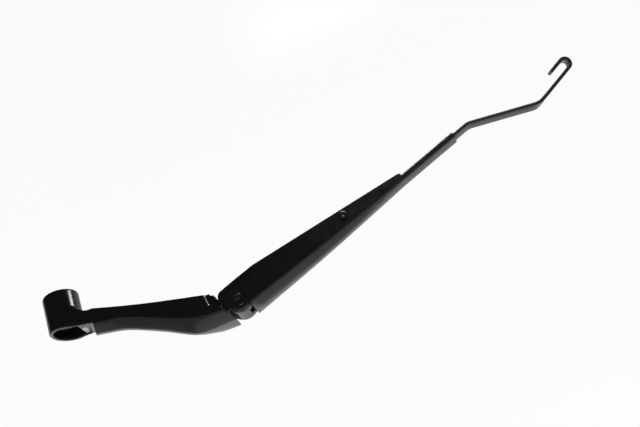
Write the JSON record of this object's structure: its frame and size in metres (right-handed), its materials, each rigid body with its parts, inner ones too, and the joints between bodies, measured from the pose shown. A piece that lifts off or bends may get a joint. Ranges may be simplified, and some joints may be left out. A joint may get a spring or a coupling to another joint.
{
  "type": "windscreen wiper arm",
  "caption": "Sprung wiper arm: cast head with spindle hub and open nut recess, hinged pressed channel with spring and link inside, crimped flat rod with twisted J-hook.",
  "frame": {"origin": "on the spindle axis, at the glass end of the straight stud bore in the hub", "axes": "+Z along the spindle axis away from the glass, +X from the hub along the arm, +Y to the side from which the picture was taken"},
  "size_m": [0.4967, 0.0312, 0.1045],
  "materials": {
    "cast_black": "gloss",
    "pressed_black": "gloss",
    "bush_acetal": "satin",
    "bare_steel": "satin"
  },
  "bodies": {
    "head_body": {"head": "cast_black", "hinge_bush_left": "bush_acetal", "hinge_bush_right": "bush_acetal", "anchor_pin": "bare_steel"},
    "arm_body": {"retainer": "pressed_black", "hinge_pin": "pressed_black", "spring_pin": "pressed_black", "spring": "bare_steel", "rod": "pressed_black"},
    "link_body": {"spring_link": "bare_steel"}
  },
  "joints": [
    {"name": "arm_hinge", "type": "hinge", "parent": "head_body", "child": "arm_body", "pos_m": [0.1498, 0, 0.0536], "axis": [0, -1, 0], "range_deg": [0, 75], "stiffness_Nm_per_rad": 0.5, "springref_deg": -114.59, "deforming": ["spring"]},
    {"name": "link_swing", "type": "hinge", "parent": "head_body", "child": "link_body", "pos_m": [0.14614, 0, 0.04538], "axis": [0, -1, 0], "range_deg": [0, 71.04]}
  ],
  "couplings": [
    {"joint": "link_swing", "follows": "arm_hinge", "ratio": 0.9471}
  ]
}
